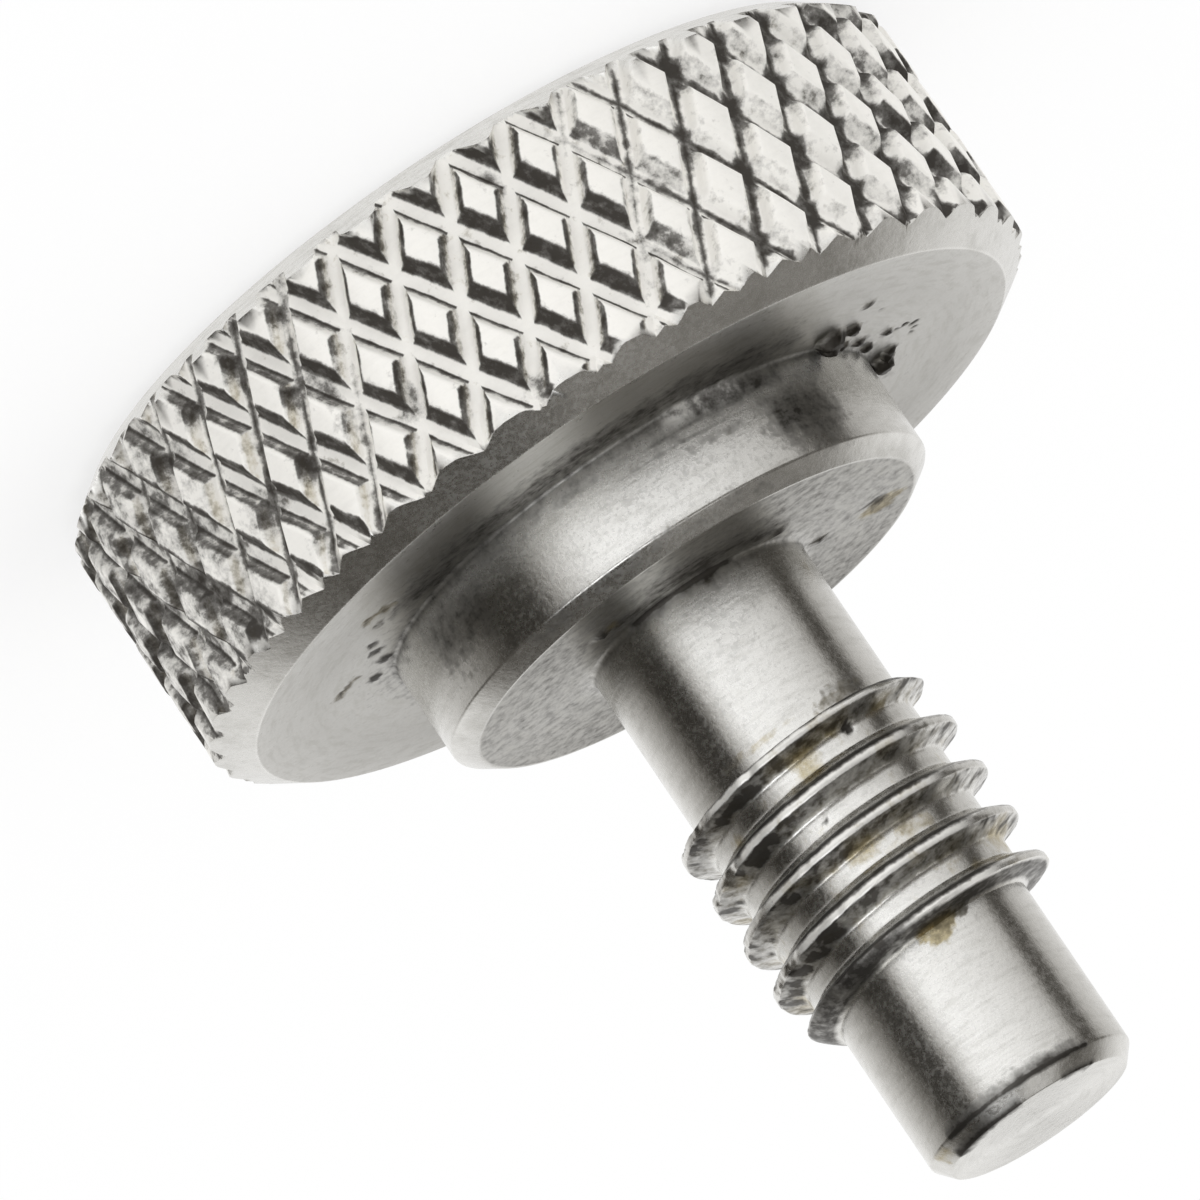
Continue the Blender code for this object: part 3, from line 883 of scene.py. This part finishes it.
def build_screw(sizes):
    """The whole screw as one closed skin. Its corners are listed as rounded_outline takes them."""
    skin = Skin()
    angles = ring_angles()
    (top_loop, top_angles), (under_loop, under_angles) = add_rim(skin, sizes)
    rim, collar, shank, dog = halves(
        sizes.head_diameter, sizes.collar_diameter, sizes.shank_diameter, sizes.dog_diameter
    )

    edge = rim - sizes.top_chamfer[0]
    corners = [
        (edge + 0.012 * MM, 0.010 * MM, 0.0, 0.3),
        (edge + 0.002 * MM, 0.003 * MM, 0.0, 0.3),
        (edge - 0.02 * MM, 0.0, 0.0, 0.5),
        (edge - 0.06 * MM, 0.0, 0.0, 0.5),
        (0.2 * edge, 0.0, 0.0, 0.5),
    ]
    # The top is made from its middle outward, so that its faces look down
    first, last = add_turned(skin, divide(rounded_outline(corners), TOP_STEP)[::-1])
    close_middle(skin, first[::-1], 0.0)
    skin.zip_rings(last, angles, top_loop, top_angles)

    under, seat = sizes.head_height, sizes.collar_face
    width, height = sizes.collar_chamfer
    edge = rim - sizes.under_chamfer[0]
    seat_edge = collar - width
    foot = (collar, under + 0.18 * MM, 0.0, 0.1, 0.0, 0.15)
    side = (collar, under + 0.60 * MM)
    # Painted shade: the darkening on the under-face rises towards the collar's root, and damps the root
    # fillet's highlight
    around_foot = [
        (edge + 0.014 * MM, under - 0.010 * MM, 0.0, 0.1),
        (edge + 0.003 * MM, under - 0.003 * MM),
        (edge - 0.02 * MM, under, 0.0, 0.7),
        (edge - 0.25 * MM, under, 0.0, 0.8),
        (collar + 1.20 * MM, under, 0.0, 1.0, 0.04),
        (collar + 0.60 * MM, under, 0.0, 1.0, 0.14),
        (collar + 0.10 * MM, under, 0.0, 1.0, 0.34),
        (collar, under, 0.05 * MM, 0.6, 0.55, 0.1),
        foot,
    ]
    # Painted shade: the collar face is darkened, a little more towards the shank
    up_to_shank = [
        side,
        (collar, seat - height, 0.05 * MM),
        (seat_edge, seat, 0.03 * MM, 0.4),
        (seat_edge - 0.05 * MM, seat, 0.0, 1.0, 0.34),
        (shank + 0.25 * MM, seat, 0.0, 1.0, 0.36),
        (shank, seat, 0.07 * MM, 0.6, 0.38),
        (shank, seat + 0.25 * MM, 0.0, 0.1),
    ]
    start_z = seat + sizes.shank_length
    outline = divide(rounded_outline(around_foot), UNDER_STEP)
    for corners, longest in (
        ([foot, side], COLLAR_STEP),
        (up_to_shank, SEAT_STEP),
        ([up_to_shank[-1], (shank, start_z, 0.0, 0.0, 0.1)], SHANK_STEP),
    ):
        outline += divide(rounded_outline(corners), longest)[1:]
    first, last = add_turned(skin, outline)
    skin.zip_rings(under_loop, under_angles, first, angles)

    dog_start = add_thread(skin, sizes, last, start_z)
    (width, height), tip = sizes.dog_chamfer, sizes.tip
    corners = [
        (dog, start_z + sizes.thread_length),
        (dog, tip - height, 0.07 * MM),
        (dog - 0.3 * width, tip - 0.7 * height),
        (dog - 0.7 * width, tip - 0.3 * height),
        (dog - width, tip, 0.03 * MM),
        (0.25 * dog, tip, 0.0, 0.1),
    ]
    first, last = add_turned(skin, divide(rounded_outline(corners), POINT_STEP)[1:], dog_start)
    close_middle(skin, last, tip)
    return skin


# ---------------- the finish

# Noises of the steel: (patches to a metre, detail, roughness)
FINE_LINES = (24000.0, 2.0, 0.6)
STREAKS = (10000.0, 3.0, 0.6)
PATCHES = (1500.0, 3.0, 0.6)
MOTTLE = (6000.0, 4.0, 0.65)
SPECKS = (17000.0, 2.0, 0.6)
# Depths of the turning lines and of the pitted grain
LINE_DEPTH = 0.004 * MM
GRAIN_DEPTH = 0.012 * MM
SHARP_ANGLE = math.radians(42.0)


def opaque(colour):
    """The same colour with full cover."""
    return (*colour, 1.0)


def grey(value):
    """A plain grey."""
    return (value, value, value, 1.0)


class Nodes:
    """A material, with short calls for building its node tree."""

    def __init__(self, name):
        self.material = bpy.data.materials.new(name)
        self.material.use_nodes = True
        self.tree = self.material.node_tree
        self.shader = self.tree.nodes["Principled BSDF"]

    def new(self, kind, inputs=None, **settings):
        """A node with its settings, and its inputs set or linked by name."""
        node = self.tree.nodes.new("ShaderNode" + kind)
        for key, value in settings.items():
            setattr(node, key, value)
        for key, value in (inputs or {}).items():
            self.put(node, key, value)
        return node

    def put(self, node, key, value):
        """Set an input, or link an output to it."""
        if isinstance(value, bpy.types.NodeSocket):
            self.tree.links.new(value, node.inputs[key])
        else:
            node.inputs[key].default_value = value

    def show(self, shader):
        """Show this in place of the first shader."""
        self.tree.nodes.remove(self.shader)
        self.put(self.tree.nodes["Material Output"], "Surface", shader.outputs[0])

    def math(self, operation, first, second=0.0, third=0.0, clamp=False):
        """One arithmetic step."""
        inputs = {0: first, 1: second, 2: third}
        return self.new("Math", inputs, operation=operation, use_clamp=clamp).outputs[0]

    def fit(self, value, by, plus, clamp=False):
        """The value times one number, plus another."""
        return self.math("MULTIPLY_ADD", value, by, plus, clamp)

    def vary(self, value, noise, by, clamp=False):
        """The value, made less and more by noise."""
        return self.fit(self.math("SUBTRACT", noise, 0.5), by, value, clamp)

    def vector(self, operation, first, second=(0.0, 0.0, 0.0), result="Vector"):
        """One step with vectors."""
        return self.new("VectorMath", {0: first, 1: second}, operation=operation).outputs[result]

    def ramp(self, factor, *stops):
        """A ramp of grey values: (place, value) pairs."""
        node = self.new("ValToRGB", {"Fac": factor})
        elements = node.color_ramp.elements
        while len(elements) < len(stops):
            elements.new(0.5)
        for element, (place, value) in zip(elements, stops):
            element.position = place
            element.color = grey(value)
        return node.outputs["Color"]

    def blend(self, factor, first, second):
        """Mix of two colours."""
        return self.new("Mix", {0: factor, 6: first, 7: second}, data_type="RGBA").outputs[2]

    def noise(self, vector, scale, detail, roughness):
        """Plain noise, about 0.5."""
        inputs = {"Vector": vector, "Scale": scale, "Detail": detail, "Roughness": roughness}
        return self.new("TexNoise", inputs).outputs["Fac"]


def steel_finish(finish):
    """Bare steel: turning lines, dull mottling, darkening in the recesses and on flanks that is partly oil
    and soot and partly painted shade, and a few stains.
    """
    nodes = Nodes("turned_steel")
    place = nodes.new("TexCoord").outputs["Object"]
    x, y, z = nodes.new("SeparateXYZ", {"Vector": place}).outputs
    flat = nodes.new("CombineXYZ", {"X": x, "Y": y}).outputs[0]
    along = nodes.math("ADD", nodes.vector("LENGTH", flat, result="Value"), z)
    lift = nodes.new("CombineXYZ", {"Z": along}).outputs[0]
    # Places that hardly change on the way round the screw, so that noise on them draws turning lines
    lathe, brushed = (
        nodes.vector("ADD", nodes.vector("MULTIPLY", flat, (drift, drift, 0.0)), lift)
        for drift in (0.03, 0.2)
    )
    fine_lines = nodes.noise(lathe, *FINE_LINES)
    streaks = nodes.noise(brushed, *STREAKS)
    patches, mottle, specks = (nodes.noise(place, *noise) for noise in (PATCHES, MOTTLE, SPECKS))
    grime, dull, stain, frost = (nodes.new("Attribute", attribute_name=key).outputs["Fac"] for key in MARKS)

    cloudy = nodes.vary(dull, patches, 0.35, clamp=True)
    colour = nodes.blend(cloudy, opaque(finish.steel), opaque(finish.worn))
    colour = nodes.blend(frost, colour, opaque(finish.frosted))
    bare = nodes.fit(frost, -0.80, 1.0)
    # Fine dust: (noise, its ramp, how much more of it on dull faces, how much anywhere)
    for noise, stops, on_dull, anywhere in (
        (streaks, ((0.34, 0.75), (0.52, 0.0)), 0.30, 0.25),
        (mottle, ((0.30, 0.60), (0.50, 0.0)), 0.65, 0.20),
        (specks, ((0.28, 0.50), (0.58, 0.0)), 0.45, 0.35),
    ):
        dusty = nodes.math("MULTIPLY", nodes.ramp(noise, *stops), nodes.fit(dull, on_dull, anywhere))
        colour = nodes.blend(nodes.math("MULTIPLY", dusty, bare), colour, opaque(finish.dust))
    stained = nodes.ramp(nodes.vary(stain, mottle, 1.3), (0.25, 0.0), (0.85, 0.8))
    colour = nodes.blend(stained, colour, opaque(finish.rust))
    # Darkening towards the darkest colour: oil and soot, and painted shade in the recesses and on flanks
    crisp = nodes.ramp(
        nodes.vary(grime, mottle, 1.4), (0.20, 0.0), (0.45, 0.34), (0.62, 0.78), (0.80, 0.90), (1.0, 0.975)
    )
    uneven = nodes.vary(nodes.vary(grime, mottle, 0.9), streaks, 0.5)
    dirt_and_shade = nodes.blend(frost, nodes.ramp(uneven, (0.24, 0.0), (0.80, 0.88)), crisp)
    rough = nodes.fit(mottle, 0.16, finish.roughness - 0.09)
    grainy = nodes.ramp(specks, (0.45, 0.0), (0.75, 1.0))
    for layer, more in ((grainy, 0.12), (dull, 0.08), (frost, 0.15)):
        rough = nodes.fit(layer, more, rough)

    lines = nodes.fit(streaks, 0.8, nodes.math("MULTIPLY", fine_lines, 0.6))
    turned = nodes.new("Bump", {"Strength": 0.4, "Distance": LINE_DEPTH, "Height": lines}).outputs[0]
    grains = nodes.fit(specks, 0.5, mottle)
    pitted = {"Strength": 0.22, "Distance": GRAIN_DEPTH, "Height": grains, "Normal": turned}
    for key, value in (
        ("Base Color", nodes.blend(dirt_and_shade, colour, opaque(finish.grime))),
        ("Metallic", nodes.fit(frost, -0.85, 1.0)),
        ("Roughness", nodes.fit(dirt_and_shade, 0.25, rough, clamp=True)),
        ("Anisotropic", 0.6),
        ("Anisotropic Rotation", 0.25),
        ("Tangent", nodes.new("Tangent", direction_type="RADIAL", axis="Z").outputs[0]),
        ("Normal", nodes.new("Bump", pitted).outputs[0]),
    ):
        nodes.put(nodes.shader, key, value)
    return nodes.material


def add_object(context, name, data):
    """Put a new object into the scene."""
    item = bpy.data.objects.new(name, data)
    context.collection.objects.link(item)
    return item


class TENSION_OT_screw(bpy.types.Operator):
    """Build the screw with its finish"""

    bl_idname = "tension.screw"
    bl_label = "Build Screw"

    def execute(self, context):
        mesh = build_screw(context.scene.screw_sizes).build(PIECE, weather)
        mesh.materials.append(steel_finish(context.scene.screw_finish))
        mesh.shade_smooth()
        mesh.set_sharp_from_angle(angle=SHARP_ANGLE)
        screw = add_object(context, PIECE, mesh)
        even = screw.modifiers.new("even_normals", "WEIGHTED_NORMAL")
        even.keep_sharp = True
        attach(screw, "root")
        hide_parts(NODE)
        return {"FINISHED"}


# ---------------- the stage

# Brightness of the tent's walls round the screw, going right from the camera's side: (share of a turn, level)
LOWER_WALL = (
    (0, 1.2), (0.1, 1), (0.17, 0.75), (0.205, 0.55), (0.235, 0.07), (0.275, 0.06), (0.305, 0.5),
    (0.35, 0.62), (0.42, 0.75), (0.5, 1), (0.58, 0.9), (0.64, 0.68), (0.7, 0.45), (0.75, 0.18),
    (0.785, 0.03), (0.862, 0.03), (0.895, 0.7), (0.94, 1.25), (1, 1.2),
)
UPPER_WALL = (
    (0, 0.2), (0.3, 0.1), (0.35, 0.6), (0.42, 0.88), (0.5, 0.88), (0.6, 0.88), (0.64, 0.6),
    (0.69, 0.1), (0.9, 0.05), (1, 0.2),
)
ROOF = (
    (0, 0.2), (0.19, 0.26), (0.247, 0.05), (0.3, 0.25), (0.345, 0.26), (0.5, 0.18), (0.64, 0.08),
    (0.69, 0.12), (0.76, 0.03), (0.9, 0.03), (0.95, 0.08), (1, 0.2),
)
TENT_FLOOR = 0.95
# Heights, from 0 at the tent's bottom to 1 at its top, over which one part of it gives way to the next
FLOOR_TO_WALL = (0.13, 0.27)
LOWER_TO_UPPER = (0.44, 0.53)
UPPER_TO_ROOF = (0.77, 0.87)
# Round lamps in the tent: (way to it, cosines of its soft edge, level)
LAMPS = (
    (Vector((-0.27, -0.39, 0.88)).normalized(), (0.95, 0.985), 0.65),
    (Vector((0.31, -0.73, 0.61)).normalized(), (0.90, 0.955), 1.6),
)
TENT_RADIUS = 0.5
# Darker parts of the tent are a little warmer
WARMTH = 1.07
FLOOR_HALF = 0.4
FLOOR_DROP = 0.01 * MM
# What the camera aims past the middle of the under-face: to the left and down
AIM_LEFT = 0.41 * MM
AIM_DOWN = 1.035 * MM


def tent_finish():
    """Glowing cloth of the tent, bright in front and behind, with dark cards at the sides."""
    nodes = Nodes("tent_cloth")
    nodes.material.cycles.emission_sampling = "NONE"
    way = nodes.vector("NORMALIZE", nodes.new("TexCoord").outputs["Object"])
    x, y, z = nodes.new("SeparateXYZ", {"Vector": way}).outputs
    turn = nodes.math("ARCTAN2", nodes.math("MULTIPLY", x, -1.0), nodes.math("MULTIPLY", y, -1.0))
    turn = nodes.math("FRACT", nodes.math("DIVIDE", turn, FULL_TURN))
    height = nodes.fit(z, 0.5, 0.5)
    lower, upper, roof = (nodes.ramp(turn, *stops) for stops in (LOWER_WALL, UPPER_WALL, ROOF))
    level = lower
    for (start, end), low, high, part in (
        (LOWER_TO_UPPER, 0.0, 1.0, upper),
        (UPPER_TO_ROOF, 0.0, 1.0, roof),
        (FLOOR_TO_WALL, 1.0, 0.0, grey(TENT_FLOOR)),
    ):
        level = nodes.blend(nodes.ramp(height, (start, low), (end, high)), level, part)
    for lamp_way, (edge, inner), strength in LAMPS:
        near = nodes.vector("DOT_PRODUCT", way, lamp_way, "Value")
        level = nodes.blend(nodes.ramp(near, (edge, 0.0), (inner, 1.0)), level, grey(strength))
    warm = nodes.new("Gamma", {"Color": level, "Gamma": WARMTH}).outputs[0]
    red = nodes.new("SeparateColor", {"Color": level}).outputs["Red"]
    blue = nodes.new("SeparateColor", {"Color": warm}).outputs["Blue"]
    green = nodes.fit(red, 0.6, nodes.math("MULTIPLY", blue, 0.4))
    light = nodes.new("CombineColor", {"Red": red, "Green": green, "Blue": blue}).outputs[0]
    nodes.show(nodes.new("Emission", {"Color": light, "Strength": 1.0}))
    return nodes.material


def add_tent(context, middle):
    """Round light tent about the screw. Only the steel's reflections show it."""
    sphere = bmesh.new()
    bmesh.ops.create_uvsphere(sphere, u_segments=96, v_segments=48, radius=TENT_RADIUS)
    mesh = bpy.data.meshes.new("light_tent")
    sphere.to_mesh(mesh)
    sphere.free()
    mesh.materials.append(tent_finish())
    tent = add_object(context, "light_tent", mesh)
    tent.location = middle
    tent.visible_camera = tent.visible_diffuse = tent.visible_shadow = False
    tent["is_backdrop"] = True


def light_room(scene):
    """Plain white room, as bright as it looks."""
    world = bpy.data.worlds.new("white_room")
    world.use_nodes = True
    world.cycles.sampling_method = "NONE"
    background = world.node_tree.nodes["Background"]
    background.inputs["Color"].default_value = grey(1.0)
    background.inputs["Strength"].default_value = 1.0
    scene.world = world


def floor_finish(settings):
    """Plain floor that looks white, and keeps a soft shadow."""
    nodes = Nodes("pale_floor")
    matt = nodes.new("BsdfDiffuse", {"Color": opaque(settings.floor)})
    glow = nodes.new("Emission", {"Color": opaque(settings.floor), "Strength": 1.0})
    rays = nodes.new("LightPath").outputs
    seen = nodes.math("MAXIMUM", rays["Is Camera Ray"], rays["Is Glossy Ray"])
    seen = nodes.math("MAXIMUM", seen, rays["Is Transmission Ray"])
    lit = nodes.math("MULTIPLY", seen, 1.0 - settings.shadow)
    nodes.show(nodes.new("MixShader", {0: lit, 1: matt.outputs[0], 2: glow.outputs[0]}))
    return nodes.material


def add_floor(context, settings):
    """A wide flat sheet under the screw."""
    mesh = bpy.data.meshes.new("floor")
    ways = ((-1, -1), (1, -1), (1, 1), (-1, 1))
    mesh.from_pydata([(FLOOR_HALF * x, FLOOR_HALF * y, 0.0) for x, y in ways], [], [(0, 1, 2, 3)])
    mesh.materials.append(floor_finish(settings))
    floor = add_object(context, "floor", mesh)
    floor.location.z = -FLOOR_DROP
    floor.visible_glossy = False
    floor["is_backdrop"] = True


def add_camera(context, settings, target):
    """Camera on the -Y side, above the floor and rolled so that the dog point is down to the right."""
    rise, roll = settings.elevation, settings.roll
    ahead = Vector((0.0, math.cos(rise), -math.sin(rise)))
    level_right = Vector((1.0, 0.0, 0.0))
    right = math.cos(roll) * level_right + math.sin(roll) * level_right.cross(ahead)
    up = right.cross(ahead)
    aim = target - AIM_LEFT * right - AIM_DOWN * up
    data = bpy.data.cameras.new("camera")
    data.lens = settings.lens
    data.clip_start = 0.01
    camera = add_object(context, "camera", data)
    turn = Matrix((right, up, -ahead)).transposed()
    camera.matrix_world = Matrix.Translation(aim - settings.distance * ahead) @ turn.to_4x4()
    context.scene.camera = camera


class TENSION_OT_stage(bpy.types.Operator):
    """Add the pale floor, the soft room light and the camera"""

    bl_idname = "tension.stage"
    bl_label = "Build Stage"

    def execute(self, context):
        scene = context.scene
        settings = scene.screw_studio
        light_room(scene)
        add_tent(context, (FRAME_LOW + FRAME_HIGH) / 2.0)
        add_floor(context, settings)
        add_camera(context, settings, Vector((0.0, 0.0, scene.screw_sizes.head_height)))
        scene.view_settings.view_transform = "Standard"
        return {"FINISHED"}


class TENSION_PT_panel(bpy.types.Panel):
    """Sidebar panel with the two operators and their settings"""

    bl_idname = "TENSION_PT_panel"
    bl_label = "Tension Screw"
    bl_space_type = "VIEW_3D"
    bl_region_type = "UI"
    bl_category = "Tension Screw"

    def draw(self, context):
        scene = context.scene
        for operator, settings in (
            (TENSION_OT_screw.bl_idname, (scene.screw_sizes, scene.screw_finish)),
            (TENSION_OT_stage.bl_idname, (scene.screw_studio,)),
        ):
            self.layout.operator(operator)
            column = self.layout.column(align=True)
            for group in settings:
                for key in group.bl_rna.properties.keys():
                    if key not in ("name", "rna_type"):
                        column.prop(group, key)


SETTINGS = {"screw_sizes": ScrewSizes, "screw_finish": ScrewFinish, "screw_studio": StudioSettings}
CLASSES = (*SETTINGS.values(), TENSION_OT_screw, TENSION_OT_stage, TENSION_PT_panel)


def register():
    for item in CLASSES:
        bpy.utils.register_class(item)
    for name, group in SETTINGS.items():
        setattr(bpy.types.Scene, name, bpy.props.PointerProperty(type=group))


def unregister():
    for name in SETTINGS:
        delattr(bpy.types.Scene, name)
    for item in reversed(CLASSES):
        bpy.utils.unregister_class(item)


def corners():
    """Lowest and highest corner of what is shown, as plain lists."""
    return [list(corner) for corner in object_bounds()]


def main():
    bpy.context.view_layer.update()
    register()
    bpy.ops.tension.screw()
    bpy.ops.tension.stage()


if __name__ == "__main__":
    main()
